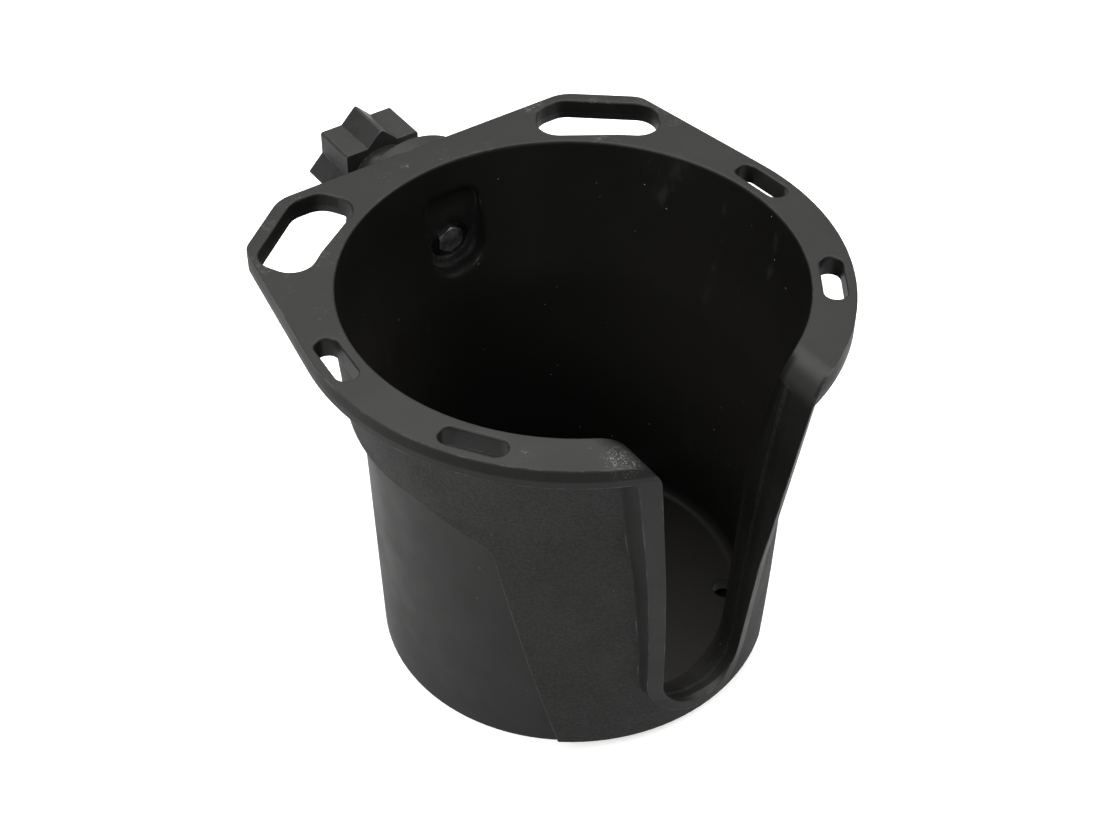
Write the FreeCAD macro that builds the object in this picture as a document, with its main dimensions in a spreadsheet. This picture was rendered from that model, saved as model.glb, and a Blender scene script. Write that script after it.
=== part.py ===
"""Desk clamp cup holder: a slotted moulded cup with a strap flange, and a swivelling screw clamp behind it.

Frame: millimetres, +Z up, the origin at the centre of the cup's underside. The clamp is on the +Y side
and the cup's open slot faces -Y. Every driving size is a cell of the sheet "dims".
"""
import FreeCAD
import Part
import os
import Sketcher
from FreeCAD import Placement, Rotation, Vector

DIMENSIONS = {
    # cup: heights and radii of the moulded shell
    "cup_height": 94.1,
    "mouth_r": 48.0,
    "knee_z": 62.0,
    "knee_r": 42.0,
    "floor_t": 3.0,
    "inner_foot_r": 40.3,
    "inner_fillet": 2.4,
    "outer_foot_r": 42.3,
    "outer_top_r": 44.5,
    "core_top_z": 70.0,
    # raised collar and front panel
    "collar_z": 66.0,
    "collar_r": 47.3,
    "collar_top_r": 49.6,
    "panel_foot_r": 45.3,
    "panel_chamfer": 3.0,
    "panel_top_y": -12.0,
    "panel_knee_y": -26.8,
    "panel_knee_z": 60.5,
    "panel_foot_y": -35.6,
    # flange with its two ears
    "flange_t": 4.5,
    "flange_r": 57.0,
    "back_y": 56.4,
    "ear_in_x": 36.3,
    "ear_out_x": 50.3,
    "ear_out_y": 45.2,
    "ear_side_x": 56.2,
    "ear_side_y": 9.5,
    "ear_in_corner": 8.0,
    "ear_out_corner": 5.0,
    # strap slots in the flange
    "strap_ring_r": 52.5,
    "strap_length": 13.7,
    "strap_width": 4.8,
    "strap_rear_angle": 5.0,
    "strap_front_angle": -34.5,
    # front slot of the cup and the rim round it
    "slot_floor_z": 13.6,
    "slot_foot_x": 9.4,
    "slot_waist_x": 11.7,
    "slot_waist_z": 46.0,
    "slot_waist_r": 400.0,
    "slot_flare": 4.7,
    "flare_end_y": -36.0,
    "slot_top_x": 18.5,
    "slot_foot_corner": 8.8,
    "slot_top_corner": 7.0,
    "rim_t": 3.0,
    "rim_foot_t": 2.0,
    "rim_low_y": -48.3,
    "rim_axis_y": -24.0,
    "rim_low_r": 26.05,
    "rim_low_z": 17.0,
    "rim_waist_r": 28.9,
    "rim_top_r": 35.0,
    "panel_waist_r": 22.0,
    "panel_knee_r": 5.0,
    "hole_tip_x": 22.6,
    "hole_tip_y": 45.6,
    "hole_back_y": 54.0,
    "hole_back_in_x": 27.8,
    "hole_back_out_x": 34.6,
    "hole_out_x": 50.9,
    "hole_out_y": 40.9,
    "hole_front_x": 45.2,
    "hole_front_y": 29.8,
    "hole_arc_x": 37.6,
    "hole_arc_y": 35.9,
    "hole_arc_r": 18.0,
    "hole_corner_r": 5.0,
    "panel_edge": 0.6,
    "flange_edge": 0.4,
    # bolt, its seat and the boss behind the wall
    "bolt_z": 74.3,
    "bolt_r": 2.0,
    "bolt_hole_r": 2.2,
    "bolt_head_af": 5.8,
    "bolt_head_t": 1.2,
    "bolt_end_y": 83.5,
    "recess_y": 47.2,
    "recess_top_z": 87.0,
    "recess_top_corner": 4.0,
    "recess_r": 7.0,
    "seat_y": 48.6,
    "seat_r": 4.8,
    "washer_r": 4.4,
    "washer_t": 0.8,
    "boss_r": 16.5,
    "drain_ring_r": 36.2,
    "drain_r": 2.8,
    # friction ring
    "ring_out_r": 13.0,
    "ring_in_r": 6.0,
    "ring_t": 1.0,
    # clamp bracket
    "bracket_y": 57.45,
    "head_r": 17.5,
    "head_end_y": 63.4,
    "strap_end_y": 62.4,
    "bracket_half_w": 8.0,
    "jaw_low_z": 13.0,
    "jaw_t": 6.0,
    "upper_jaw_z": 49.0,
    "jaw_y": 79.0,
    "gusset_y": 74.0,
    "gusset_z": 61.0,
    "gusset_half_w": 2.2,
    "web_half_w": 1.8,
    "inner_corner": 2.5,
    "bush_r": 3.5,
    # pads on the bracket
    "jaw_pad_t": 1.7,
    "jaw_pad_half_w": 7.2,
    "jaw_pad_y": 67.0,
    "plug_r": 1.6,
    "plug_length": 4.0,
    "edge_pad_t": 1.2,
    "edge_pad_half_w": 6.0,
    "edge_pad_low_z": 22.0,
    "edge_pad_high_z": 46.0,
    # clamping screw, its foot and its thumb knob
    "screw_r": 3.0,
    "screw_low_z": 1.6,
    "neck_r": 2.0,
    "neck_z": 37.75,
    "neck_end_z": 40.9,
    "groove_r": 1.6,
    "clip_z": 39.7,
    "clip_t": 0.6,
    "clip_r": 3.4,
    "nut_af": 10.0,
    "nut_t": 5.0,
    "foot_r": 8.0,
    "foot_boss_r": 5.4,
    "foot_low_z": 37.8,
    "foot_plate_z": 39.2,
    "foot_seat_z": 39.6,
    "foot_seat_r": 4.2,
    "foot_top_z": 41.3,
    "foot_pad_t": 1.5,
    "thumb_low_z": 0.8,
    "thumb_t": 7.5,
    "thumb_tip_r": 10.2,
    "thumb_valley_r": 8.9,
    "thumb_pin_r": 1.0,
    "thumb_pin_z": 4.6,
    # star knob on the bolt
    "wave_washer_t": 0.7,
    "wave_washer_r": 6.6,
    "knob_washer_t": 1.0,
    "knob_washer_r": 8.0,
    "hub_r": 8.5,
    "star_y": 75.1,
    "star_end_y": 87.0,
    "star_tip_r": 13.25,
    "star_valley_r": 10.15,
    "insert_y": 72.0,
    "insert_end_y": 84.0,
    "insert_r": 4.0,
    "cap_r": 6.2,
    "cap_t": 1.4,
}

STAR_LOBES = 8
THUMB_LOBES = 12
BEYOND = 30.0   # how far a cutting outline runs past the solid it cuts
RIM_ARC = 90    # degrees of arc over which the front of the slot's rim is rounded
CLEAR = "0.05"  # running clearance between a shaft and its bore
SEATED = "0.01"  # clearance round a piece that is fixed in its bore

doc = FreeCAD.newDocument("cup_holder")
sheet = doc.addObject("Spreadsheet::Sheet", "dims")
for row, (alias, value) in enumerate(DIMENSIONS.items(), start=1):
    sheet.set(f"A{row}", alias)
    sheet.set(f"B{row}", str(value))
    sheet.setAlias(f"B{row}", alias)
doc.recompute()

SUB_PARTS = []


# ---------------------------------------------------------------- helpers

def number(expression):
    """Value of an expression that uses the sheet's cells."""
    value = sheet.evalExpression(str(expression).replace("dims.", ""))
    return float(getattr(value, "Value", value))


def new_body(name):
    body = doc.addObject("PartDesign::Body", name)
    body.Label = name
    SUB_PARTS.append(body)
    return body


def set_along_y(body, y, z="dims.bolt_z"):
    """Place a body that was modelled along its own +Z so that it runs along +Y from height z."""
    body.Placement = Placement(Vector(0, 0, 0), Rotation(Vector(1, 0, 0), -90))
    body.setExpression(".Placement.Base.y", y)
    body.setExpression(".Placement.Base.z", z)


def set_along_z(body, y, z):
    body.setExpression(".Placement.Base.y", y)
    body.setExpression(".Placement.Base.z", z)


def new_sketch(body, role, name, offset=None):
    """Sketch on one of the body's own origin planes, moved along the plane's normal by offset."""
    plane = next(item for item in body.Origin.OriginFeatures if item.Role == role)
    sketch = body.newObject("Sketcher::SketchObject", name)
    sketch.AttachmentSupport = [(plane, "")]
    sketch.MapMode = "FlatFace"
    if offset is not None:
        sketch.setExpression(".AttachmentOffset.Base.z", offset)
    return sketch


def fix(sketch, kind, expression, *where):
    index = sketch.addConstraint(Sketcher.Constraint(kind, *where, number(expression)))
    sketch.setExpression(f"Constraints[{index}]", expression)


def add_outline(sketch, corners):
    """Closed outline through corners (x, y) or (x, y, radius); every value is an expression."""
    points = [Vector(number(corner[0]), number(corner[1]), 0) for corner in corners]
    count = len(points)
    lines = []
    for i in range(count):
        line = Part.LineSegment(points[i], points[(i + 1) % count])
        lines.append(sketch.addGeometry(line, False))
    for i in range(count):
        sketch.addConstraint(Sketcher.Constraint("Coincident", lines[i], 2, lines[(i + 1) % count], 1))
    for i, corner in enumerate(corners):
        fix(sketch, "DistanceX", str(corner[0]), -1, 1, lines[i], 1)
        fix(sketch, "DistanceY", str(corner[1]), -1, 1, lines[i], 1)
    sketch.solve()
    for i, corner in enumerate(corners):
        if len(corner) > 2 and corner[2] is not None:
            first_new = sketch.GeometryCount
            sketch.fillet(lines[i], 1, number(corner[2]), True, True)
            added = range(first_new, sketch.GeometryCount)
            arc = next(j for j in added if isinstance(sketch.Geometry[j], Part.ArcOfCircle))
            fix(sketch, "Radius", str(corner[2]), arc)


def add_circle(sketch, x, y, radius):
    circle = Part.Circle(Vector(number(x), number(y), 0), Vector(0, 0, 1), number(radius))
    index = sketch.addGeometry(circle, False)
    fix(sketch, "DistanceX", str(x), -1, 1, index, 3)
    fix(sketch, "DistanceY", str(y), -1, 1, index, 3)
    fix(sketch, "Radius", str(radius), index)


def add_hexagon(sketch, across_flats):
    corners = []
    for i in range(6):
        angle = 60 * i + 30
        corners.append((f"{across_flats} / 2 / cos(30 deg) * cos({angle} deg)",
                        f"{across_flats} / 2 / cos(30 deg) * sin({angle} deg)"))
    add_outline(sketch, corners)


def add_star(sketch, lobes, tip_r, valley_r, tip_round, valley_round):
    """Pointed lobes, the first pointing along the sketch's own Y axis."""
    corners = []
    for i in range(2 * lobes):
        angle = 180.0 / lobes * i
        radius = tip_r if i % 2 == 0 else valley_r
        rounding = tip_round if i % 2 == 0 else valley_round
        corners.append((f"{radius} * sin({angle} deg)", f"{radius} * cos({angle} deg)", rounding))
    add_outline(sketch, corners)


def pad(body, sketch, length, symmetric=False, backwards=False):
    feature = body.newObject("PartDesign::Pad", sketch.Name + "_pad")
    feature.Profile = sketch
    feature.setExpression("Length", length)
    feature.SideType = "Symmetric" if symmetric else "One side"
    feature.Reversed = backwards
    sketch.Visibility = False
    return feature


def pocket(body, sketch, length=None, symmetric=False, backwards=False):
    """Cut to a length, or right through when no length is given; the volume must go down."""
    doc.recompute()
    before = body.Shape.Volume
    feature = body.newObject("PartDesign::Pocket", sketch.Name + "_cut")
    feature.Profile = sketch
    feature.SideType = "Symmetric" if symmetric else "One side"
    if length is None:
        feature.Type = "ThroughAll"
    else:
        feature.setExpression("Length", length)
    feature.Reversed = backwards
    doc.recompute()
    if not body.Shape.Volume < before:
        raise RuntimeError(f"{sketch.Name} cuts nothing")
    return feature


def turn(body, sketch, kind="PartDesign::Revolution", angle=360):
    """Revolution or Groove about the sketch's own vertical axis, evenly to both sides of the sketch."""
    feature = body.newObject(kind, sketch.Name + "_turn")
    feature.Profile = sketch
    feature.ReferenceAxis = (sketch, ["V_Axis"])
    feature.Angle = angle
    feature.Midplane = angle < 360
    return feature


def edges_where(shape, test):
    return [f"Edge{i}" for i, edge in enumerate(shape.Edges, start=1) if test(edge)]


def round_edges(body, name, size, test, kind="PartDesign::Fillet"):
    """Fillet (or Chamfer) on the edges of the body's present shape that pass the test."""
    doc.recompute()
    base = body.Tip
    names = edges_where(base.Shape, test)
    if not names:
        raise RuntimeError(f"{name} finds no edge")
    feature = body.newObject(kind, name)
    feature.Base = (base, names)
    feature.setExpression("Radius" if kind.endswith("Fillet") else "Size", str(size))
    doc.recompute()
    return feature


def is_round(edge, radius, slack=0.02):
    return isinstance(edge.Curve, Part.Circle) and abs(edge.Curve.Radius - radius) < slack


# ---------------------------------------------------------------- cup

def shell_outside(body):
    """Panel and collar as one turned block, with the side windows cut back to the smooth wall."""
    block = new_sketch(body, "XZ_Plane", "panel_profile")
    add_outline(block, [
        ("0", "0"),
        ("dims.outer_foot_r", "0"),
        ("dims.panel_foot_r", "dims.panel_chamfer"),
        ("dims.collar_r", "dims.collar_z"),
        ("dims.collar_top_r", "dims.cup_height - dims.flange_t"),
        ("dims.collar_top_r", "dims.cup_height - dims.flange_t / 2"),
        ("0", "dims.cup_height - dims.flange_t / 2"),
    ])
    turn(body, block)
    window = new_sketch(body, "YZ_Plane", "side_window")
    add_outline(window, [
        ("dims.flange_r", "dims.collar_z"),
        ("dims.panel_top_y", "dims.collar_z", "dims.panel_waist_r"),
        ("dims.panel_knee_y", "dims.panel_knee_z", "dims.panel_knee_r"),
        ("dims.panel_foot_y", "-1"),
        ("dims.flange_r", "-1"),
    ])
    pocket(body, window, symmetric=True)
    core = new_sketch(body, "XZ_Plane", "smooth_wall")
    add_outline(core, [
        ("0", "0"),
        ("dims.outer_foot_r", "0"),
        ("dims.outer_top_r", "dims.core_top_z"),
        ("0", "dims.core_top_z"),
    ])
    turn(body, core)


def slot_sides(outwards, downwards=None):
    """Corners of the slot's right side from foot to flange, moved outwards; the left side mirrors it."""
    downwards = downwards or outwards
    return [
        (f"(dims.slot_foot_x + {outwards})", f"dims.slot_floor_z - {downwards}",
         f"dims.slot_foot_corner + {downwards}"),
        (f"(dims.slot_waist_x + {outwards})", "dims.slot_waist_z", "dims.slot_waist_r"),
    ]


def mirrored(corners):
    """The same corners on the other side of the vertical axis, in the order that closes the outline."""
    return [(f"-{corner[0]}", *corner[1:]) for corner in reversed(corners)]


def slot_rim(body):
    """Standing rim round the front slot: its front is rounded about an upright axis inside the cup."""
    rim = new_sketch(body, "XZ_Plane", "rim_outline")
    right = slot_sides("dims.rim_t", "dims.rim_foot_t") + [
        ("(dims.slot_top_x + dims.rim_t)", "dims.cup_height - dims.flange_t",
         "dims.slot_top_corner - dims.rim_t"),
        ("dims.ear_in_x", "dims.cup_height - dims.flange_t"),
        ("dims.ear_in_x", "dims.cup_height - dims.flange_t / 2"),
    ]
    add_outline(rim, right + mirrored(right))
    pad(body, rim, "dims.flange_r + 10")
    beyond = new_sketch(body, "XZ_Plane", "rim_circle")
    add_outline(beyond, [
        ("dims.flange_r", "0"),
        (f"dims.flange_r + {BEYOND}", "0"),
        (f"dims.flange_r + {BEYOND}", "dims.cup_height"),
        ("dims.flange_r", "dims.cup_height"),
    ])
    turn(body, beyond, "PartDesign::Groove")
    front = new_sketch(body, "YZ_Plane", "rim_front")
    front.setExpression(".AttachmentOffset.Base.x", "dims.rim_axis_y * 1 mm")
    add_outline(front, [
        ("-dims.rim_low_r", "-1"),
        ("-dims.rim_low_r", "dims.rim_low_z"),
        ("-dims.rim_waist_r", "dims.slot_waist_z"),
        ("-dims.rim_top_r", "dims.cup_height - dims.flange_t"),
        (f"-dims.rim_top_r - {BEYOND}", "dims.cup_height - dims.flange_t"),
        (f"-dims.rim_top_r - {BEYOND}", "-1"),
    ])
    turn(body, front, "PartDesign::Groove", RIM_ARC)


def flange(body):
    """Round flange with two ears that end on a straight back edge."""
    disc = new_sketch(body, "XY_Plane", "flange_disc", "dims.cup_height - dims.flange_t")
    add_circle(disc, "0", "0", "dims.flange_r")
    pad(body, disc, "dims.flange_t")
    behind = new_sketch(body, "XY_Plane", "flat_back", "dims.cup_height")
    add_outline(behind, [
        ("-dims.flange_r", "dims.back_y"),
        ("dims.flange_r", "dims.back_y"),
        ("dims.flange_r", f"dims.back_y + {BEYOND}"),
        ("-dims.flange_r", f"dims.back_y + {BEYOND}"),
    ])
    pocket(body, behind, "dims.flange_t")
    ears = new_sketch(body, "XY_Plane", "ear_outline", "dims.cup_height - dims.flange_t")
    add_outline(ears, [
        ("-dims.ear_in_x", "dims.back_y", "dims.ear_in_corner"),
        ("dims.ear_in_x", "dims.back_y", "dims.ear_in_corner"),
        ("dims.ear_out_x", "dims.ear_out_y", "dims.ear_out_corner"),
        ("dims.ear_side_x", "dims.ear_side_y"),
        ("-dims.ear_side_x", "dims.ear_side_y"),
        ("-dims.ear_out_x", "dims.ear_out_y", "dims.ear_out_corner"),
    ])
    pad(body, ears, "dims.flange_t")


def cavity(body):
    """Inside of the cup: tapered wall, a wider funnel above the knee and a rounded floor corner."""
    inside = new_sketch(body, "XZ_Plane", "cavity_profile")
    add_outline(inside, [
        ("0", "dims.floor_t"),
        ("dims.inner_foot_r", "dims.floor_t", "dims.inner_fillet"),
        ("dims.knee_r", "dims.knee_z", "40"),
        ("dims.mouth_r", "dims.cup_height"),
        ("dims.mouth_r", "dims.cup_height + 5"),
        ("0", "dims.cup_height + 5"),
    ])
    turn(body, inside, "PartDesign::Groove")


def front_slot(body):
    """Tapered slot with a round foot; its top corners roll over into the flange's top face."""
    slot = new_sketch(body, "XZ_Plane", "front_slot")
    right = slot_sides("0") + [
        ("dims.slot_top_x", "dims.cup_height", "dims.slot_top_corner"),
        ("dims.flange_r", "dims.cup_height"),
        ("dims.flange_r", "dims.cup_height + 5"),
    ]
    add_outline(slot, right + mirrored(right))
    pocket(body, slot, "dims.flange_r + 10", backwards=True)


def slot_flare(body):
    """The slot's faces open towards the inside of the cup."""
    front = new_sketch(body, "XZ_Plane", "flare_front", "-dims.rim_low_y")
    inside = new_sketch(body, "XZ_Plane", "flare_inside", "-dims.flare_end_y")
    for sketch, outwards in ((front, "0"), (inside, "dims.slot_flare")):
        right = slot_sides(outwards) + [("dims.slot_top_x", "dims.cup_height")]
        add_outline(sketch, right + mirrored(right))
    flare = body.newObject("PartDesign::SubtractiveLoft", "slot_flare")
    flare.Profile = front
    flare.Sections = [inside]
    flare.Ruled = True
    doc.recompute()


def ear_holes(body):
    """A long hand hole in each ear: straight outside, and inside an arc concentric with the mouth."""
    for side, name in ((1, "right"), (-1, "left")):
        hole = new_sketch(body, "XY_Plane", name + "_ear_hole", "dims.cup_height")
        add_outline(hole, [
            (f"{side} * dims.hole_tip_x", "dims.hole_tip_y", "dims.hole_corner_r"),
            (f"{side} * dims.hole_back_in_x", "dims.hole_back_y", "dims.hole_corner_r"),
            (f"{side} * dims.hole_back_out_x", "dims.hole_back_y", "dims.hole_corner_r"),
            (f"{side} * dims.hole_out_x", "dims.hole_out_y", "dims.hole_corner_r"),
            (f"{side} * dims.hole_front_x", "dims.hole_front_y", "dims.hole_corner_r"),
            (f"{side} * dims.hole_arc_x", "dims.hole_arc_y", "dims.hole_arc_r"),
        ])
        pocket(body, hole, "dims.flange_t + 3")


def strap_slots(body):
    """Four round-ended slots on one circle of the flange."""
    for name, side, angle in (("rear_right", 1, "dims.strap_rear_angle"),
                              ("rear_left", -1, "dims.strap_rear_angle"),
                              ("front_right", 1, "dims.strap_front_angle"),
                              ("front_left", -1, "dims.strap_front_angle")):
        slot = new_sketch(body, "XY_Plane", name + "_strap_slot", "dims.cup_height")
        corners = []
        for along, across in ((-1, -1), (1, -1), (1, 1), (-1, 1)):
            radial = f"(dims.strap_ring_r + {across} * dims.strap_width / 2)"
            tangential = f"({along} * dims.strap_length / 2)"
            turned = f"({angle} * 1 deg)"
            x = f"{side} * ({radial} * cos{turned} - {tangential} * sin{turned})"
            y = f"{radial} * sin{turned} + {tangential} * cos{turned}"
            corners.append((x, y, "dims.strap_width / 2 - 0.05"))
        add_outline(slot, corners)
        pocket(body, slot, "dims.flange_t + 3")


def bolt_boss(body):
    """Round boss behind the wall, as deep as the flange's back edge."""
    boss = new_sketch(body, "XZ_Plane", "boss", "-dims.back_y")
    add_circle(boss, "0", "dims.bolt_z", "dims.boss_r")
    pad(body, boss, "dims.back_y - dims.knee_r + 4")


def bolt_seat(body):
    """U-shaped recess inside the wall with a round washer seat and the bolt's hole."""
    recess = new_sketch(body, "XZ_Plane", "bolt_recess")
    add_outline(recess, [
        ("-dims.recess_r", "dims.bolt_z - dims.recess_r", "dims.recess_r - 0.05"),
        ("dims.recess_r", "dims.bolt_z - dims.recess_r", "dims.recess_r - 0.05"),
        ("dims.recess_r", "dims.recess_top_z", "dims.recess_top_corner"),
        ("-dims.recess_r", "dims.recess_top_z", "dims.recess_top_corner"),
    ])
    pocket(body, recess, "dims.recess_y")
    seat = new_sketch(body, "XZ_Plane", "washer_seat")
    add_circle(seat, "0", "dims.bolt_z", "dims.seat_r")
    pocket(body, seat, "dims.seat_y")
    hole = new_sketch(body, "XZ_Plane", "bolt_hole")
    add_circle(hole, "0", "dims.bolt_z", "dims.bolt_hole_r")
    pocket(body, hole, "dims.back_y + 5")


def drain_holes(body):
    """Four holes through the floor, in line with the front strap slots."""
    drains = new_sketch(body, "XY_Plane", "drain_holes")
    turned = "(dims.strap_front_angle * 1 deg)"
    for side_x in (1, -1):
        for side_y in (1, -1):
            add_circle(drains, f"{side_x} * dims.drain_ring_r * cos{turned}",
                       f"{side_y} * dims.drain_ring_r * sin{turned}", "dims.drain_r")
    pocket(body, drains, "dims.floor_t + 1", backwards=True)


def make_cup():
    body = new_body("cup_body")
    shell_outside(body)
    slot_rim(body)
    flange(body)
    bolt_boss(body)
    cavity(body)
    front_slot(body)
    slot_flare(body)
    ear_holes(body)
    strap_slots(body)
    bolt_seat(body)
    drain_holes(body)
    round_edges(body, "panel_edges", "dims.panel_edge", is_panel_edge)
    round_edges(body, "flange_edges", "dims.flange_edge", is_flange_edge)


def middle(edge):
    """Point halfway along an edge."""
    return edge.valueAt((edge.FirstParameter + edge.LastParameter) / 2)


def panel_radius(z):
    """Radius of the raised panel and collar at a height."""
    low_z, low_r = number("dims.panel_chamfer"), number("dims.panel_foot_r")
    high_z, high_r = number("dims.collar_z"), number("dims.collar_r")
    return low_r + (z - low_z) / (high_z - low_z) * (high_r - low_r)


def is_panel_edge(edge):
    """Edges where the side windows cut the front panel, clear of the slot's rim."""
    point = middle(edge)
    on_panel = abs(point.x ** 2 + point.y ** 2 - panel_radius(point.z) ** 2) < 6
    beside_rim = abs(point.x) < 26 and point.y < 0
    above_chamfer = edge.BoundBox.ZMin > number("dims.panel_chamfer") - 0.1
    below_step = point.z < number("dims.collar_z") - 0.01
    return on_panel and above_chamfer and below_step and edge.BoundBox.ZLength > 0.5 and not beside_rim


def is_flange_edge(edge):
    """Top edges of the mouth and of every hole through the flange; its outline stays crisp."""
    box = edge.BoundBox
    top = abs(box.ZMin - number("dims.cup_height")) < 0.01 and box.ZLength < 0.01
    tangent_line = isinstance(edge.Curve, Part.Line) and box.XLength < 0.01 and box.YMax < 0
    if not top or tangent_line:
        return False
    outline = Part.Compound(doc.getObject("ear_outline_pad").Shape.Edges)
    return outline.distToShape(Part.Vertex(middle(edge)))[0] > 0.01


# ---------------------------------------------------------------- bolt, washers and star knob

def make_pivot_bolt():
    """Hexagon bolt whose head sits in the cup; its shank carries the clamp and the star knob."""
    body = new_body("pivot_bolt")
    head_y = "dims.seat_y - dims.washer_t - dims.bolt_head_t"
    head = new_sketch(body, "XY_Plane", "bolt_head")
    add_hexagon(head, "dims.bolt_head_af")
    pad(body, head, "dims.bolt_head_t")
    crown = new_sketch(body, "XZ_Plane", "head_crown")
    add_outline(crown, [
        ("dims.bolt_head_af / 2 - 0.2", "-0.1"),
        ("dims.bolt_head_af / 2 + 2", "-0.1"),
        ("dims.bolt_head_af / 2 + 2", "1.1"),
    ])
    turn(body, crown, "PartDesign::Groove")
    shank = new_sketch(body, "XY_Plane", "bolt_shank")
    add_circle(shank, "0", "0", "dims.bolt_r")
    pad(body, shank, f"dims.bolt_end_y - ({head_y})")
    set_along_y(body, head_y)


def make_ring(name, y, outer_r, inner_r, thickness):
    """Flat ring round the bolt's axis, its front face at y."""
    body = new_body(name)
    sketch = new_sketch(body, "XY_Plane", name + "_outline")
    add_circle(sketch, "0", "0", outer_r)
    add_circle(sketch, "0", "0", inner_r)
    pad(body, sketch, thickness)
    set_along_y(body, y)


def make_star_knob():
    """Moulded knob: a round hub, an eight-pointed star, and a stepped bore for insert and cap."""
    body = new_body("star_knob")
    hub_y = "(dims.head_end_y + dims.wave_washer_t + dims.knob_washer_t)"
    hub = new_sketch(body, "XY_Plane", "knob_hub", f"{hub_y}")
    add_circle(hub, "0", "0", "dims.hub_r")
    pad(body, hub, f"dims.star_y - {hub_y}")
    star = new_sketch(body, "XY_Plane", "knob_star", "dims.star_y")
    add_star(star, STAR_LOBES, "dims.star_tip_r", "dims.star_valley_r", "0.6", None)
    pad(body, star, "dims.star_end_y - dims.star_y")
    bore = new_sketch(body, "XZ_Plane", "knob_bore")
    add_outline(bore, [
        ("0", f"{hub_y} - 1"),
        ("dims.bolt_hole_r", f"{hub_y} - 1"),
        ("dims.bolt_hole_r", "dims.insert_y"),
        ("dims.insert_r", "dims.insert_y"),
        ("dims.insert_r", "dims.star_end_y - dims.cap_t"),
        ("dims.cap_r", "dims.star_end_y - dims.cap_t"),
        ("dims.cap_r", "dims.star_end_y + 1"),
        ("0", "dims.star_end_y + 1"),
    ])
    turn(body, bore, "PartDesign::Groove")
    set_along_y(body, "0 mm")


def make_knob_cap():
    """Plug that closes the knob's bore behind the insert."""
    body = new_body("knob_cap")
    profile = new_sketch(body, "XZ_Plane", "cap_profile")
    add_outline(profile, [
        ("0", "dims.insert_end_y + 0.3"),
        ("dims.insert_r", "dims.insert_end_y + 0.3"),
        ("dims.insert_r", "dims.star_end_y - dims.cap_t"),
        ("dims.cap_r", "dims.star_end_y - dims.cap_t"),
        ("dims.cap_r", "dims.star_end_y", "0.5"),
        ("0", "dims.star_end_y"),
    ])
    turn(body, profile)
    set_along_y(body, "0 mm")


# ---------------------------------------------------------------- clamp bracket and what it carries

def jaw_plan(body, name, low_z, reach_y):
    """One jaw seen from above: as wide as the strap, with a round end about the screw's axis."""
    plan = new_sketch(body, "XY_Plane", name, low_z)
    add_outline(plan, [
        ("-dims.bracket_half_w", "dims.bracket_y"),
        ("dims.bracket_half_w", "dims.bracket_y"),
        ("dims.bracket_half_w", reach_y, "dims.bracket_half_w - 0.1"),
        ("-dims.bracket_half_w", reach_y, "dims.bracket_half_w - 0.1"),
    ])
    return plan


def bracket_blanks(body):
    """Strap, both jaws, the round head and a gusset over the upper jaw."""
    strap = new_sketch(body, "XZ_Plane", "strap", "-dims.strap_end_y")
    add_outline(strap, [
        ("-dims.bracket_half_w", "dims.jaw_low_z", "3"),
        ("dims.bracket_half_w", "dims.jaw_low_z", "3"),
        ("dims.bracket_half_w", "dims.bolt_z"),
        ("-dims.bracket_half_w", "dims.bolt_z"),
    ])
    pad(body, strap, "dims.strap_end_y - dims.bracket_y")
    tip_y = "dims.jaw_y + dims.bracket_half_w"
    pad(body, jaw_plan(body, "lower_jaw_plan", "dims.jaw_low_z", tip_y), "dims.jaw_t")
    pad(body, jaw_plan(body, "upper_jaw_plan", "dims.upper_jaw_z", tip_y), "dims.jaw_t")
    head = new_sketch(body, "XZ_Plane", "head", "-dims.head_end_y")
    add_circle(head, "0", "dims.bolt_z", "dims.head_r")
    pad(body, head, "dims.head_end_y - dims.bracket_y")
    gusset = new_sketch(body, "YZ_Plane", "gusset")
    add_outline(gusset, [
        ("dims.strap_end_y - 1", "dims.upper_jaw_z + dims.jaw_t - 1"),
        ("dims.gusset_y", "dims.upper_jaw_z + dims.jaw_t - 1"),
        ("dims.gusset_y", "dims.upper_jaw_z + dims.jaw_t"),
        ("dims.strap_end_y", "dims.gusset_z"),
        ("dims.strap_end_y - 1", "dims.gusset_z"),
    ])
    pad(body, gusset, "2 * dims.gusset_half_w", symmetric=True)


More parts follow.
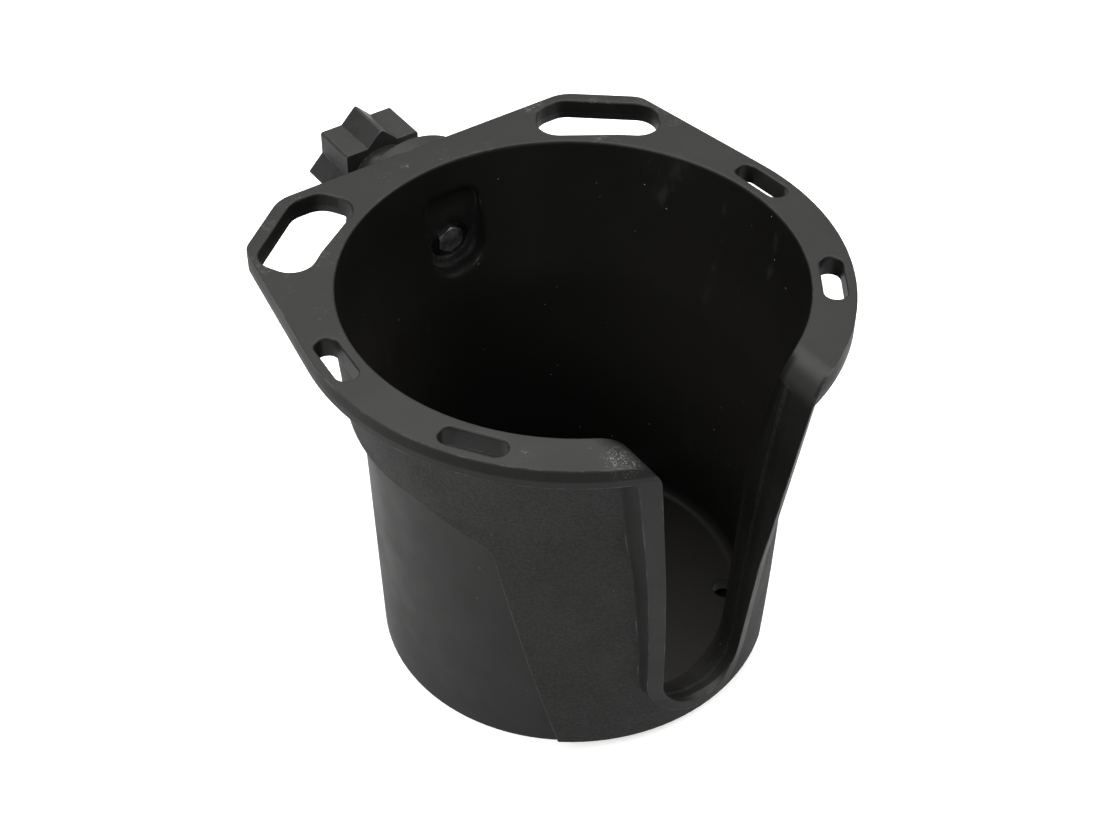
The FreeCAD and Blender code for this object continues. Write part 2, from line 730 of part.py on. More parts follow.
def bracket_pockets(body):
    """Lightening pockets that leave a web down the middle of the strap, from either flank."""
    for side, name in ((1, "right"), (-1, "left")):
        flank = new_sketch(body, "YZ_Plane", name + "_web", f"{side} * dims.web_half_w")
        add_outline(flank, [
            ("dims.bracket_y + 1.3", "dims.jaw_low_z + dims.jaw_t + 1", "1"),
            ("dims.strap_end_y - 1.3", "dims.jaw_low_z + dims.jaw_t + 1", "1"),
            ("dims.strap_end_y - 1.3", "dims.upper_jaw_z - 1", "1"),
            ("dims.bracket_y + 1.3", "dims.upper_jaw_z - 1", "1"),
        ])
        pocket(body, flank, "dims.bracket_half_w", backwards=side > 0)
    bush_hole = new_sketch(body, "XZ_Plane", "bush_hole")
    add_circle(bush_hole, "0", "dims.bolt_z", "dims.bush_r + " + SEATED)
    pocket(body, bush_hole, "dims.head_end_y + 1")
    nut_pocket = new_sketch(body, "XY_Plane", "nut_pocket", "dims.jaw_low_z + dims.jaw_t")
    add_hexagon(nut_pocket, "dims.nut_af")
    nut_pocket.setExpression(".AttachmentOffset.Base.y", "dims.jaw_y")
    pocket(body, nut_pocket, "dims.nut_t")
    screw_hole = new_sketch(body, "XY_Plane", "screw_hole")
    add_circle(screw_hole, "0", "dims.jaw_y", "dims.screw_r + 0.4")
    pocket(body, screw_hole, "dims.jaw_low_z + dims.jaw_t", backwards=True)
    plug_holes = new_sketch(body, "XY_Plane", "plug_holes", "dims.upper_jaw_z")
    for y in ("dims.jaw_y", "dims.jaw_y - 8"):
        add_circle(plug_holes, "0", y, "dims.plug_r")
    pocket(body, plug_holes, "dims.plug_length", backwards=True)


def make_bracket():
    body = new_body("clamp_bracket")
    bracket_blanks(body)
    bracket_pockets(body)
    inner_corners = round_edges(body, "inner_corners", "dims.inner_corner", is_inner_corner)
    inner_corners.Label = "inner_corners"
    round_edges(body, "head_edge", "0.8", is_head_rim)
    round_edges(body, "jaw_edges", "1", is_jaw_outline)


def is_inner_corner(edge):
    """Edges where the jaws meet the strap's face inside the clamp's throat."""
    box = edge.BoundBox
    at_face = abs(box.YMin - number("dims.strap_end_y")) < 0.01 and box.YLength < 0.01
    levels = (number("dims.jaw_low_z + dims.jaw_t"), number("dims.upper_jaw_z"))
    return at_face and box.ZLength < 0.01 and any(abs(box.ZMin - level) < 0.01 for level in levels)


def is_head_rim(edge):
    at_end = abs(edge.BoundBox.YMin - number("dims.head_end_y")) < 0.01
    return at_end and is_round(edge, number("dims.head_r"))


def is_jaw_outline(edge):
    """Outer edges of both jaws, on the faces that are turned away from the throat."""
    box = edge.BoundBox
    levels = (number("dims.jaw_low_z"), number("dims.upper_jaw_z + dims.jaw_t"))
    flat = box.ZLength < 0.01 and any(abs(box.ZMin - level) < 0.01 for level in levels)
    beyond_strap = box.YMax > number("dims.jaw_y")
    inside = is_round(edge, number("dims.screw_r + 0.4"))
    return flat and beyond_strap and not inside


def make_jaw_pad():
    """Rubber sole of the upper jaw, held by two moulded plugs."""
    body = new_body("upper_jaw_pad")
    sole = new_sketch(body, "XY_Plane", "jaw_pad_sole", "dims.upper_jaw_z - dims.jaw_pad_t")
    corner = "dims.jaw_pad_half_w - 0.1"
    add_outline(sole, [
        ("-dims.jaw_pad_half_w", "dims.jaw_pad_y", "1.5"),
        ("dims.jaw_pad_half_w", "dims.jaw_pad_y", "1.5"),
        ("dims.jaw_pad_half_w", "dims.jaw_y + dims.jaw_pad_half_w", corner),
        ("-dims.jaw_pad_half_w", "dims.jaw_y + dims.jaw_pad_half_w", corner),
    ])
    pad(body, sole, "dims.jaw_pad_t")
    plugs = new_sketch(body, "XY_Plane", "jaw_pad_plugs", "dims.upper_jaw_z - 0.5")
    for y in ("dims.jaw_y", "dims.jaw_y - 8"):
        add_circle(plugs, "0", y, "dims.plug_r")
    pad(body, plugs, "dims.plug_length + 0.3")


def make_edge_pad():
    """Rubber strip on the strap that the desk's edge meets."""
    body = new_body("edge_pad")
    strip = new_sketch(body, "XZ_Plane", "edge_pad_outline", "-(dims.strap_end_y + dims.edge_pad_t)")
    add_outline(strip, [
        ("-dims.edge_pad_half_w", "dims.edge_pad_low_z", "2"),
        ("dims.edge_pad_half_w", "dims.edge_pad_low_z", "2"),
        ("dims.edge_pad_half_w", "dims.edge_pad_high_z", "2"),
        ("-dims.edge_pad_half_w", "dims.edge_pad_high_z", "2"),
    ])
    pad(body, strip, "dims.edge_pad_t")


def make_jaw_nut():
    body = new_body("jaw_nut")
    outline = new_sketch(body, "XY_Plane", "nut_outline")
    add_hexagon(outline, "dims.nut_af")
    add_circle(outline, "0", "0", "dims.screw_r + " + CLEAR)
    pad(body, outline, "dims.nut_t")
    set_along_z(body, "dims.jaw_y", "dims.jaw_low_z + dims.jaw_t - dims.nut_t")


# ---------------------------------------------------------------- clamping screw, foot and thumb knob

def turned_body(name, corners):
    """Body turned about the clamping screw's axis; heights are the assembly's own."""
    body = new_body(name)
    profile = new_sketch(body, "XZ_Plane", name + "_profile")
    add_outline(profile, corners)
    turn(body, profile)
    set_along_z(body, "dims.jaw_y", "0 mm")
    return body


def cross_hole(body, name, radius):
    """Hole for the pin that locks the thumb knob to the screw."""
    hole = new_sketch(body, "YZ_Plane", name)
    add_circle(hole, "0", "dims.thumb_pin_z", radius)
    pocket(body, hole, "3 * dims.thumb_tip_r", symmetric=True)


def make_clamp_screw():
    """Screw with a necked end for the foot and a groove for the retaining clip."""
    body = turned_body("clamp_screw", [
        ("0", "dims.screw_low_z"),
        ("dims.screw_r", "dims.screw_low_z"),
        ("dims.screw_r", "dims.neck_z - 0.8"),
        ("dims.screw_r - 0.6", "dims.neck_z"),
        ("dims.neck_r", "dims.neck_z"),
        ("dims.neck_r", "dims.clip_z"),
        ("dims.groove_r", "dims.clip_z"),
        ("dims.groove_r", "dims.clip_z + dims.clip_t"),
        ("dims.neck_r", "dims.clip_z + dims.clip_t"),
        ("dims.neck_r", "dims.neck_end_z"),
        ("0", "dims.neck_end_z"),
    ])
    cross_hole(body, "screw_pin_hole", "dims.thumb_pin_r")


def make_foot():
    """Swivelling foot: a plate on a boss, with a seat above it for the neck's clip."""
    turned_body("pressure_foot", [
        ("dims.neck_r + " + CLEAR, "dims.foot_low_z"),
        ("dims.foot_boss_r", "dims.foot_low_z", "0.6"),
        ("dims.foot_boss_r", "dims.foot_plate_z"),
        ("dims.foot_r", "dims.foot_plate_z", "0.4"),
        ("dims.foot_r", "dims.foot_top_z"),
        ("dims.foot_seat_r", "dims.foot_top_z"),
        ("dims.foot_seat_r", "dims.foot_seat_z"),
        ("dims.neck_r + " + CLEAR, "dims.foot_seat_z"),
    ])
    turned_body("foot_pad", [
        ("0", "dims.foot_top_z"),
        ("dims.foot_r", "dims.foot_top_z"),
        ("dims.foot_r", "dims.foot_top_z + dims.foot_pad_t", "0.6"),
        ("0", "dims.foot_top_z + dims.foot_pad_t"),
    ])


def make_foot_clip():
    """Open spring clip in the neck's groove; it keeps the foot on the screw."""
    body = turned_body("foot_clip", [
        ("dims.groove_r", "dims.clip_z"),
        ("dims.clip_r", "dims.clip_z"),
        ("dims.clip_r", "dims.clip_z + dims.clip_t"),
        ("dims.groove_r", "dims.clip_z + dims.clip_t"),
    ])
    mouth = new_sketch(body, "XY_Plane", "clip_mouth", "dims.clip_z")
    add_outline(mouth, [
        ("-1.1", "0"),
        ("1.1", "0"),
        ("1.1", "dims.clip_r + 1"),
        ("-1.1", "dims.clip_r + 1"),
    ])
    pocket(body, mouth, "dims.clip_t", backwards=True)


def make_thumb_knob():
    """Twelve-lobed knob pressed on the screw's lower end and locked by a cross pin."""
    body = new_body("thumb_knob")
    lobes = new_sketch(body, "XY_Plane", "thumb_lobes", "dims.thumb_low_z")
    add_star(lobes, THUMB_LOBES, "dims.thumb_tip_r", "dims.thumb_valley_r", "1.2", "1.0")
    pad(body, lobes, "dims.thumb_t")
    bore = new_sketch(body, "XY_Plane", "thumb_bore", "dims.screw_low_z")
    add_circle(bore, "0", "0", "dims.screw_r + " + SEATED)
    pocket(body, bore, "dims.thumb_t + 1", backwards=True)
    cross_hole(body, "thumb_pin_hole", "dims.thumb_pin_r")
    set_along_z(body, "dims.jaw_y", "0 mm")
    edges = round_edges(body, "thumb_edges", "0.7", is_thumb_rim, "PartDesign::Chamfer")
    edges.Label = "thumb_edges"


def is_thumb_rim(edge):
    box = edge.BoundBox
    low = number("dims.thumb_low_z")
    at_end = any(abs(box.ZMin - level) < 0.01 for level in (low, low + number("dims.thumb_t")))
    return at_end and box.ZLength < 0.01 and not is_round(edge, number("dims.screw_r + " + SEATED))


def make_thumb_pin():
    body = new_body("thumb_pin")
    end = new_sketch(body, "YZ_Plane", "pin_outline")
    add_circle(end, "0", "dims.thumb_pin_z", "dims.thumb_pin_r")
    pad(body, end, "2 * dims.thumb_valley_r - 1.4", symmetric=True)
    set_along_z(body, "dims.jaw_y", "0 mm")


make_cup()
make_pivot_bolt()
make_ring("bolt_washer", "dims.seat_y - dims.washer_t", "dims.washer_r", "dims.bolt_hole_r", "dims.washer_t")
make_ring("friction_ring", "dims.back_y", "dims.ring_out_r", "dims.ring_in_r", "dims.ring_t")
make_bracket()
make_ring("bracket_bush", "dims.bracket_y", "dims.bush_r", "dims.bolt_r + " + CLEAR,
          "dims.head_end_y - dims.bracket_y")
make_ring("wave_washer", "dims.head_end_y", "dims.wave_washer_r", "dims.bolt_hole_r", "dims.wave_washer_t")
make_ring("knob_washer", "dims.head_end_y + dims.wave_washer_t", "dims.knob_washer_r", "dims.bolt_hole_r",
          "dims.knob_washer_t")
make_star_knob()
make_ring("knob_insert", "dims.insert_y", "dims.insert_r", "dims.bolt_r + " + CLEAR,
          "dims.insert_end_y - dims.insert_y")
make_knob_cap()
make_jaw_pad()
make_edge_pad()
make_jaw_nut()
make_clamp_screw()
make_foot()
make_foot_clip()
make_thumb_knob()
make_thumb_pin()
doc.recompute()

for item in doc.Objects:
    if "Invalid" in item.State or "Error" in item.State:
        raise RuntimeError(f"{item.Name} is {item.State}")
os.makedirs("parts", exist_ok=True)
for sub_part in SUB_PARTS:
    shape = sub_part.Shape
    if shape.isNull() or not shape.isValid():
        raise RuntimeError(f"{sub_part.Label} has no valid shape")
    shape.exportStep(f"parts/{sub_part.Label}.step")
    box = shape.BoundBox
    print(f"{sub_part.Label}: {len(shape.Solids)} solid(s), {shape.Volume / 1000:.2f} cm3, "
          f"x {box.XMin:.1f}..{box.XMax:.1f} y {box.YMin:.1f}..{box.YMax:.1f} z {box.ZMin:.1f}..{box.ZMax:.1f}")
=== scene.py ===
import math

import bpy
from mathutils import Matrix, Vector


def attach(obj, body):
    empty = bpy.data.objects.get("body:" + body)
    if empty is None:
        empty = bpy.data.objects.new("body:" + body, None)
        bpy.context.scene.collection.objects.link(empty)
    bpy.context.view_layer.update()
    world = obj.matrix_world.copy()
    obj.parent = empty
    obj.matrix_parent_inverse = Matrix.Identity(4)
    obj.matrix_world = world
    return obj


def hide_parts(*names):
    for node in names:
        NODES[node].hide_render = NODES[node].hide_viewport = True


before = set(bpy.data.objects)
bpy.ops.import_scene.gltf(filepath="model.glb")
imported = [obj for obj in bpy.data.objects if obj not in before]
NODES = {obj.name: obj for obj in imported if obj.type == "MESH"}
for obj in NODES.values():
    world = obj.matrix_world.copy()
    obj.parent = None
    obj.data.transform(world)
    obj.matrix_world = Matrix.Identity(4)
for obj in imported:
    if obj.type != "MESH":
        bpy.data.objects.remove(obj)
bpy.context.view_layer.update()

FLANGE_TOP = 0.0941        # height of the flange's top face
FLANGE_RADIUS = 0.057
SHADE_RADIUS = 0.0415      # the floor is painted dark, as painted shade, under the cup as far out as this
BOLT_HEAD = (0.0, 0.047, 0.0743)
CUP_MIDDLE = (0.0, 0.0, 0.06)


# ---------------------------------------------------------------- node helpers

class Graph:
    """Short names for building a material's nodes."""

    def __init__(self, name):
        self.material = bpy.data.materials.new(name)
        self.material.use_nodes = True
        self.tree = self.material.node_tree
        self.shader = self.tree.nodes["Principled BSDF"]
        self.place = self.add("ShaderNodeTexCoord").outputs["Object"]

    def add(self, kind, **values):
        node = self.tree.nodes.new(kind)
        for key, value in values.items():
            setattr(node, key, value)
        return node

    def put(self, source, socket):
        """Link a socket, or set a plain value."""
        if isinstance(source, bpy.types.NodeSocket):
            self.tree.links.new(source, socket)
        else:
            socket.default_value = source

    def math(self, operation, a, b=0.0, c=0.0):
        node = self.add("ShaderNodeMath", operation=operation)
        for value, socket in zip((a, b, c), node.inputs):
            self.put(value, socket)
        return node.outputs[0]

    def product(self, *factors):
        result = factors[0]
        for factor in factors[1:]:
            result = self.math("MULTIPLY", result, factor)
        return result

    def blend(self, a, b, share):
        """Two values added up, with this share of the second."""
        return self.math("ADD", self.product(a, 1.0 - share), self.product(b, share))

    def noise(self, scale, detail, rough, stretch=(1.0, 1.0, 1.0)):
        placed = self.add("ShaderNodeVectorMath", operation="MULTIPLY")
        self.put(self.place, placed.inputs[0])
        placed.inputs[1].default_value = stretch
        node = self.add("ShaderNodeTexNoise")
        self.put(placed.outputs[0], node.inputs["Vector"])
        node.inputs["Scale"].default_value = scale
        node.inputs["Detail"].default_value = detail
        node.inputs["Roughness"].default_value = rough
        return node.outputs["Fac"]

    def ramp(self, value, low, high, out_low=0.0, out_high=1.0):
        """Smooth step from out_low at low to out_high at high."""
        node = self.add("ShaderNodeMapRange", interpolation_type="SMOOTHSTEP", clamp=True)
        for source, key in ((value, "Value"), (low, "From Min"), (high, "From Max"),
                            (out_low, "To Min"), (out_high, "To Max")):
            self.put(source, node.inputs[key])
        return node.outputs["Result"]

    def mix(self, factor, a, b):
        """Blend two colours, which are the Mix node's inputs 6 and 7."""
        node = self.add("ShaderNodeMix", data_type="RGBA")
        self.put(factor, node.inputs[0])
        self.put(a, node.inputs[6])
        self.put(b, node.inputs[7])
        return node.outputs[2]

    def cylindrical(self):
        """Distance from the cup's axis, y and height."""
        node = self.add("ShaderNodeSeparateXYZ")
        self.put(self.place, node.inputs[0])
        x, y, z = node.outputs
        squares = self.math("ADD", self.product(x, x), self.product(y, y))
        return self.math("SQRT", squares), y, z

    def skin_radius(self, height, lower, upper):
        """Radius of a wall with a knee: its slope and start below the knee and above it."""
        return self.math("MAXIMUM", *(self.math("MULTIPLY_ADD", height, slope, start)
                                      for slope, start in (lower, upper)))

    def distance_to(self, point):
        node = self.add("ShaderNodeVectorMath", operation="DISTANCE")
        self.put(self.place, node.inputs[0])
        node.inputs[1].default_value = point
        return node.outputs["Value"]

    def rounded(self, radius):
        """Normal that rounds sharp edges a little."""
        bevel = self.add("ShaderNodeBevel", samples=6)
        bevel.inputs["Radius"].default_value = radius
        return bevel.outputs[0]

    def blend_normals(self, factor, a, b):
        """Blend two vectors, which are the Mix node's inputs 4 and 5."""
        node = self.add("ShaderNodeMix", data_type="VECTOR")
        self.put(factor, node.inputs[0])
        self.put(a, node.inputs[4])
        self.put(b, node.inputs[5])
        return node.outputs[1]

    def edge(self, radius):
        """1 near edges, 0 on open faces."""
        bevel = self.add("ShaderNodeBevel", samples=6)
        bevel.inputs["Radius"].default_value = radius
        dot = self.add("ShaderNodeVectorMath", operation="DOT_PRODUCT")
        self.put(bevel.outputs[0], dot.inputs[0])
        self.put(self.add("ShaderNodeNewGeometry").outputs["True Normal"], dot.inputs[1])
        return self.ramp(dot.outputs["Value"], 0.995, 0.90)

    def specks(self, scale, radius, share):
        """Round dots, in this share of the pattern's cells."""
        node = self.add("ShaderNodeTexVoronoi", feature="F1")
        node.inputs["Scale"].default_value = scale
        self.put(self.place, node.inputs["Vector"])
        dot = self.ramp(node.outputs["Distance"], radius, radius * 0.5)
        chosen = self.add("ShaderNodeSeparateColor")
        self.put(node.outputs["Color"], chosen.inputs[0])
        return self.product(dot, self.math("GREATER_THAN", chosen.outputs[0], 1.0 - share))

    def bump(self, height, distance, below=None, strength=1.0):
        node = self.add("ShaderNodeBump")
        node.inputs["Strength"].default_value = strength
        node.inputs["Distance"].default_value = distance
        self.put(height, node.inputs["Height"])
        if below is not None:
            self.put(below, node.inputs["Normal"])
        return node.outputs["Normal"]


def grey(value, warm=0.0):
    """A grey, with a little more red and less blue by the share warm."""
    return (value * (1 + warm), value, value * (1 - warm), 1.0)


# ---------------------------------------------------------------- materials

# radius over height of the panel and collar, and of a surface just outside the lining
OUTER_SKIN = ((0.03175, 0.045205), (0.0975, 0.040865))
INNER_SKIN = ((0.0303, 0.0412), (0.1869, 0.0315))
STIPPLE_TOP = 0.0895       # height where the stipple ends, under the flange

# marks on the flange where the finish is rubbed through: x, y and how far the mark spreads
SCUFFS = (
    (-0.0232, -0.0487, 0.0050),
    (0.0278, 0.0563, 0.0038),
    (-0.0078, 0.0519, 0.0015),
    (-0.0371, -0.0377, 0.0013),
    (0.0505, 0.0440, 0.0030),
)


def shell_tone(g, stippled, inside, z):
    """Base colour without marks: satin outside, stippled panel and collar, dusty lining."""
    mottle = g.noise(1700.0, 2.0, 0.6)
    tone = g.blend(g.noise(38.0, 4.0, 0.6), mottle, 0.4)
    base = g.mix(g.ramp(tone, 0.35, 0.65), grey(0.0048, 0.03), grey(0.0080, 0.03))
    grained = g.mix(g.ramp(mottle, 0.35, 0.65), grey(0.0035, 0.03), grey(0.0115, 0.03))
    base = g.mix(stippled, base, grained)
    smudge = g.ramp(g.noise(85.0, 4.0, 0.7, stretch=(1.0, 1.0, 0.45)), 0.62, 0.78)
    lining = g.mix(g.ramp(z, 0.090, 0.030), grey(0.0040, 0.05), grey(0.0135, 0.05))
    lining = g.mix(g.product(smudge, 0.5), lining, grey(0.024, 0.02))
    return g.mix(inside, base, lining)


def shell_marks(g, base, inside, y, z):
    """Worn edges, the rubbed back of the flange, scuffs and dust laid over the base colour."""
    wear = g.product(g.edge(0.0005), g.ramp(g.noise(150.0, 4.0, 0.7), 0.50, 0.62), 0.35)
    base = g.mix(wear, base, grey(0.13))
    rubbed = g.product(
        g.ramp(g.noise(120.0, 4.0, 0.7), 0.52, 0.72), g.ramp(g.noise(1900.0, 3.0, 0.7), 0.48, 0.66),
        g.ramp(z, FLANGE_TOP - 0.0007, FLANGE_TOP - 0.0001), g.ramp(y, -0.010, 0.045), 0.45)
    base = g.mix(rubbed, base, grey(0.20))
    flecks = g.ramp(g.noise(2300.0, 4.0, 0.75), 0.52, 0.70)
    scuff = None
    for x_at, y_at, spread in SCUFFS:
        near = g.product(g.ramp(g.distance_to((x_at, y_at, FLANGE_TOP)), spread, 0.0), flecks)
        scuff = near if scuff is None else g.math("MAXIMUM", scuff, near)
    base = g.mix(g.product(scuff, 0.70), base, grey(0.48))
    dust = g.math("MAXIMUM", g.specks(190.0, 0.045, 0.30), g.specks(420.0, 0.07, 0.10))
    base = g.mix(g.product(dust, g.math("MULTIPLY_ADD", inside, 0.55, 0.25)), base, grey(0.24, 0.03))
    return base, scuff


def shell_material():
    """The cup's black plastic: stippled on panel and collar, satin elsewhere, dull and dusty inside."""
    g = Graph("shell_plastic")
    radius, y, z = g.cylindrical()
    off_skin = g.math("ABSOLUTE", g.math("SUBTRACT", radius, g.skin_radius(z, *OUTER_SKIN)))
    stippled = g.product(g.ramp(off_skin, 0.0007, 0.0004), g.math("LESS_THAN", z, STIPPLE_TOP))
    beyond_lining = g.math("SUBTRACT", radius, g.skin_radius(z, *INNER_SKIN))
    inside = g.product(g.ramp(beyond_lining, 0.0008, -0.0004),
                       g.ramp(z, FLANGE_TOP - 0.0002, FLANGE_TOP - 0.0009))

    base, scuff = shell_marks(g, shell_tone(g, stippled, inside, z), inside, y, z)
    g.put(base, g.shader.inputs["Base Color"])

    smear = g.ramp(g.noise(60.0, 3.0, 0.6), 0.3, 0.7, 0.40, 0.50)
    rough = g.math("ADD", smear, g.product(stippled, 0.12))
    g.put(g.math("ADD", rough, g.product(scuff, 0.3)), g.shader.inputs["Roughness"])

    # the lining and the flange's narrow side shine less than the rest
    flange_side = g.product(
        g.ramp(z, FLANGE_TOP - 0.0032, FLANGE_TOP - 0.0026),
        g.ramp(z, FLANGE_TOP - 0.0002, FLANGE_TOP - 0.0005),
        g.ramp(radius, FLANGE_RADIUS - 0.0010, FLANGE_RADIUS - 0.0004))
    shine = g.math("MULTIPLY_ADD", inside, g.ramp(z, 0.060, 0.088, -0.16, -0.185), 0.27)
    shine = g.product(shine, g.math("MULTIPLY_ADD", flange_side, -0.55, 1.0))
    g.put(shine, g.shader.inputs["Specular IOR Level"])

    # edges are softened a little everywhere, and more round the bolt's recess
    near_bolt = g.ramp(g.distance_to(BOLT_HEAD), 0.0185, 0.0150)
    soft = g.blend_normals(near_bolt, g.rounded(0.00035), g.rounded(0.0024))
    fine = g.bump(g.noise(1500.0, 2.0, 0.5), 0.00002, soft, 0.35)
    grain = g.product(g.noise(1500.0, 2.0, 0.6), stippled)
    g.put(g.bump(grain, 0.00010, fine, 0.8), g.shader.inputs["Normal"])
    return g.material


def plastic_material(name, dark, light, rough, grain_scale, grain_depth, wear_amount=0.40):
    """Moulded plastic with soft tone changes, an even grain and rubbed edges."""
    g = Graph(name)
    tone = g.blend(g.noise(60.0, 4.0, 0.6), g.noise(700.0, 2.0, 0.5), 0.4)
    base = g.mix(g.ramp(tone, 0.35, 0.65), grey(dark), grey(light))
    wear = g.product(g.edge(0.00045), g.ramp(g.noise(210.0, 4.0, 0.7), 0.47, 0.62), wear_amount)
    g.put(g.mix(wear, base, grey(0.15)), g.shader.inputs["Base Color"])
    g.put(g.ramp(g.noise(90.0, 3.0, 0.6), 0.3, 0.7, rough - 0.06, rough + 0.07), g.shader.inputs["Roughness"])
    g.shader.inputs["Specular IOR Level"].default_value = 0.32
    grain = g.noise(grain_scale, 2.0, 0.5)
    g.put(g.bump(grain, grain_depth, g.rounded(0.0003), 0.6), g.shader.inputs["Normal"])
    return g.material


def metal_material(name, dark, light, rough, stretch, tint=0.0):
    """Plated or turned metal with fine tool marks, stains and bright rubbed edges."""
    g = Graph(name)
    marks = g.noise(900.0, 2.0, 0.5, stretch=stretch)
    stain = g.noise(240.0, 4.0, 0.65)
    base = g.mix(g.ramp(g.blend(marks, stain, 0.5), 0.35, 0.65), grey(dark, tint), grey(light, tint))
    base = g.mix(g.product(g.edge(0.0003), 0.6), base, grey(light * 1.35, tint * 0.6))
    g.put(base, g.shader.inputs["Base Color"])
    g.shader.inputs["Metallic"].default_value = 1.0
    g.put(g.ramp(stain, 0.3, 0.7, rough - 0.06, rough + 0.12), g.shader.inputs["Roughness"])
    g.put(g.bump(marks, 0.00002, strength=0.5), g.shader.inputs["Normal"])
    return g.material


def rubber_material():
    """Dull rubber, dusty on the raised grain."""
    g = Graph("soft_rubber")
    grain = g.noise(1100.0, 3.0, 0.6)
    dust = g.ramp(g.noise(120.0, 4.0, 0.7), 0.45, 0.75)
    base = g.mix(g.ramp(grain, 0.3, 0.7), grey(0.008), grey(0.014))
    g.put(g.mix(g.product(dust, 0.25), base, grey(0.06, 0.04)), g.shader.inputs["Base Color"])
    g.put(g.ramp(dust, 0.0, 1.0, 0.72, 0.9), g.shader.inputs["Roughness"])
    g.shader.inputs["Specular IOR Level"].default_value = 0.3
    g.put(g.bump(grain, 0.00006, strength=0.8), g.shader.inputs["Normal"])
    return g.material


MATERIALS = {
    "shell": shell_material(),
    "bracket": plastic_material("bracket_plastic", 0.006, 0.011, 0.52, 1300.0, 0.00006),
    "knob": plastic_material("knob_plastic", 0.007, 0.013, 0.40, 900.0, 0.00002, 0.75),
    "dark_steel": metal_material("dark_steel", 0.16, 0.34, 0.34, (1, 6, 1)),
    "black_steel": metal_material("black_steel", 0.020, 0.045, 0.45, (1, 6, 1)),
    "plain_steel": metal_material("plain_steel", 0.38, 0.55, 0.30, (1, 1, 9), 0.01),
    "turned_steel": metal_material("turned_steel", 0.38, 0.55, 0.30, (1, 9, 1), 0.01),
    "brass": metal_material("thread_brass", 0.42, 0.58, 0.32, (1, 9, 1), 0.28),
    "rubber": rubber_material(),
}

NODE_MATERIAL = {
    "cup_body": "shell", "pivot_bolt": "dark_steel", "bolt_washer": "black_steel", "friction_ring": "rubber",
    "clamp_bracket": "bracket", "bracket_bush": "turned_steel", "wave_washer": "turned_steel",
    "knob_washer": "turned_steel", "star_knob": "knob", "knob_insert": "brass", "knob_cap": "knob",
    "upper_jaw_pad": "rubber", "edge_pad": "rubber", "jaw_nut": "plain_steel", "clamp_screw": "plain_steel",
    "pressure_foot": "bracket", "foot_pad": "rubber", "foot_clip": "plain_steel", "thumb_knob": "knob",
    "thumb_pin": "plain_steel",
}
for node_name, key in NODE_MATERIAL.items():
    mesh = NODES[node_name].data
    mesh.materials.clear()
    mesh.materials.append(MATERIALS[key])


# ---------------------------------------------------------------- the screw's thread

SCREW_AXIS_Y = 0.079
SCREW_RADIUS = 0.003
THREAD_LOW, THREAD_HIGH = 0.0088, 0.0368
THREAD_PITCH, THREAD_DEPTH = 0.001, 0.00055
THREAD_LEAD = 0.0012       # length over which the thread fades out at its ends
STEPS_AROUND, STEPS_PER_TURN = 40, 10

# height and radius of the plain parts, from the bottom up; the groove takes the clip
SCREW_TAIL = ((0.0016, 0.0), (0.0016, 0.0026), (0.0020, SCREW_RADIUS), (THREAD_LOW, SCREW_RADIUS))
SCREW_NECK = (
    (THREAD_HIGH, SCREW_RADIUS), (0.03695, SCREW_RADIUS), (0.03775, 0.0024), (0.03775, 0.0020),
    (0.0397, 0.0020), (0.0397, 0.0016), (0.0403, 0.0016), (0.0403, 0.0020),
    (0.0407, 0.0020), (0.0409, 0.0018), (0.0409, 0.0),
)


def screw_profile():
    """Height, radius and depth of thread at each ring of points."""
    steps = round((THREAD_HIGH - THREAD_LOW) / THREAD_PITCH * STEPS_PER_TURN)
    rings = [(z, r, 0.0) for z, r in SCREW_TAIL]
    for i in range(1, steps):
        z = THREAD_LOW + (THREAD_HIGH - THREAD_LOW) * i / steps
        fade = min(1.0, (z - THREAD_LOW) / THREAD_LEAD, (THREAD_HIGH - z) / THREAD_LEAD)
        rings.append((z, SCREW_RADIUS, THREAD_DEPTH * fade))
    return rings + [(z, r, 0.0) for z, r in SCREW_NECK]


def threaded_screw():
    """The clamping screw with its thread cut; its neck and the clip's groove are the CAD's."""
    rings = screw_profile()
    points, faces = [], []
    for z, r, cut in rings:
        for k in range(STEPS_AROUND):
            turn = k / STEPS_AROUND
            flank = abs(2.0 * ((z / THREAD_PITCH - turn) % 1.0) - 1.0)
            r_here = r - cut * min(1.0, max(0.0, 1.25 * flank - 0.12))
            angle = 2.0 * math.pi * turn
            points.append((r_here * math.cos(angle), SCREW_AXIS_Y + r_here * math.sin(angle), z))
    for low in range(0, (len(rings) - 1) * STEPS_AROUND, STEPS_AROUND):
        high = low + STEPS_AROUND
        for k in range(STEPS_AROUND):
            beside = (k + 1) % STEPS_AROUND
            faces.append((low + k, low + beside, high + beside, high + k))
    mesh = bpy.data.meshes.new("clamp_screw_thread")
    mesh.from_pydata(points, [], faces)
    mesh.validate()
    for face in mesh.polygons:
        face.use_smooth = True
    mesh.materials.append(MATERIALS["plain_steel"])
    screw = bpy.data.objects.new("clamp_screw_thread", mesh)
    bpy.context.scene.collection.objects.link(screw)
    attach(screw, "screw")
    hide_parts("clamp_screw")


threaded_screw()


# ---------------------------------------------------------------- floor, light and camera

FLOOR_HALF = 4.0
PAPER_GLOW = 0.45


def sheet(name, height):
    """A flat square for the floor."""
    corners = [(x * FLOOR_HALF, y * FLOOR_HALF, 0) for x, y in ((-1, -1), (1, -1), (1, 1), (-1, 1))]
    mesh = bpy.data.meshes.new(name)
    mesh.from_pydata(corners, [], [(0, 1, 2, 3)])
    made = bpy.data.objects.new(name, mesh)
    made.location.z = height
    bpy.context.scene.collection.objects.link(made)
    return made


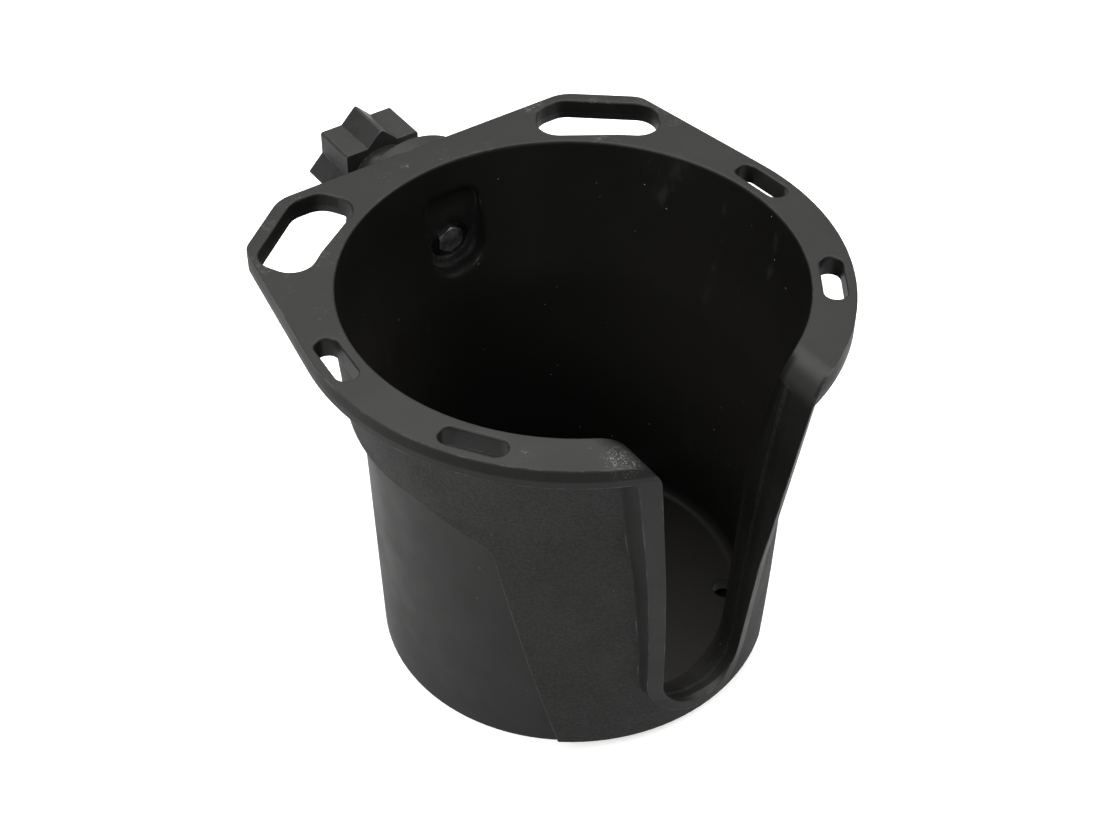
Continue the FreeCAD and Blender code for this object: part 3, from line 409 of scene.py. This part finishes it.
def paper_look(g, colour, glow):
    """Matt paper with a little light of its own, as evenly white as a studio sweep."""
    g.put(colour, g.shader.inputs["Base Color"])
    g.put(glow, g.shader.inputs["Emission Color"])
    g.shader.inputs["Emission Strength"].default_value = PAPER_GLOW
    g.shader.inputs["Roughness"].default_value = 0.9


def stage_floor():
    """White paper for the camera; the light that comes back up comes off a pale sheet just below it."""
    paper = sheet("floor", -0.0002)
    g = Graph("floor_paper")
    # painted shade: under the cup the paper is dark and gives no light of its own, standing in for the shadow
    # there
    painted_shade_under_cup = g.ramp(g.cylindrical()[0], SHADE_RADIUS, SHADE_RADIUS - 0.0015)
    white = g.mix(g.ramp(g.noise(9.0, 3.0, 0.5), 0.3, 0.7), grey(0.90), grey(0.93))
    paper_look(g, g.mix(painted_shade_under_cup, white, grey(0.004)), g.mix(painted_shade_under_cup, white, grey(0.0)))
    g.shader.inputs["Specular IOR Level"].default_value = 0.0
    paper.data.materials.append(g.material)
    paper.visible_diffuse = False
    paper.visible_glossy = False

    under = sheet("floor_under", -0.0006)
    g = Graph("floor_grey")
    paper_look(g, g.mix(g.noise(9.0, 3.0, 0.5), grey(0.80), grey(0.86)), grey(0.9))
    under.data.materials.append(g.material)
    under.visible_camera = False


def softbox(name, place, size, power):
    """A rectangular lamp that faces the middle of the cup."""
    light = bpy.data.lights.new(name, "AREA")
    light.shape = "RECTANGLE"
    light.size, light.size_y = size
    light.energy = power
    light.color = (1.0, 0.995, 0.955)
    lamp = bpy.data.objects.new(name, light)
    lamp.location = place
    lamp.rotation_euler = (Vector(CUP_MIDDLE) - Vector(place)).to_track_quat("-Z", "Y").to_euler()
    bpy.context.scene.collection.objects.link(lamp)


def world_light(strength):
    """Even white light from all round."""
    world = bpy.data.worlds.new("studio")
    world.use_nodes = True
    back = world.node_tree.nodes["Background"]
    back.inputs["Color"].default_value = (1.0, 1.0, 1.0, 1.0)
    back.inputs["Strength"].default_value = strength
    bpy.context.scene.world = world


# the camera fitted to the photograph
CAMERA_ANGLES = (-34.771, 41.851, 0.343)       # azimuth, elevation and roll in degrees
CAMERA_TARGET = (-0.027144, -0.030907, FLANGE_TOP)
CAMERA_DISTANCE = 0.381868
CAMERA_LENS = 67.154


def photo_camera():
    """The camera looks along -back at its target, with the photograph's small roll."""
    azimuth, elevation, roll = (math.radians(angle) for angle in CAMERA_ANGLES)
    back = Vector((math.sin(azimuth) * math.cos(elevation), -math.cos(azimuth) * math.cos(elevation),
                   math.sin(elevation)))
    level = Vector((math.cos(azimuth), math.sin(azimuth), 0.0))
    rise = back.cross(level)
    right = math.cos(roll) * level + math.sin(roll) * rise
    up = -math.sin(roll) * level + math.cos(roll) * rise
    camera = bpy.data.cameras.new("camera")
    camera.sensor_width = 36.0
    camera.lens = CAMERA_LENS
    camera.clip_start = 0.01
    eye = bpy.data.objects.new("camera", camera)
    eye.matrix_world = Matrix((
        (right.x, up.x, back.x, 0), (right.y, up.y, back.y, 0), (right.z, up.z, back.z, 0), (0, 0, 0, 1)))
    eye.location = Vector(CAMERA_TARGET) + CAMERA_DISTANCE * back
    bpy.context.scene.collection.objects.link(eye)
    bpy.context.scene.camera = eye


stage_floor()
softbox("top_softbox", (0.12, 0.5, 1.3), (1.3, 1.0), 20.0)
softbox("left_softbox", (-1.2, -0.2, 0.7), (0.9, 0.9), 15.0)
softbox("right_softbox", (1.1, -0.5, 0.8), (0.8, 0.8), 12.0)
world_light(0.55)
photo_camera()
bpy.context.scene.view_settings.view_transform = "Standard"
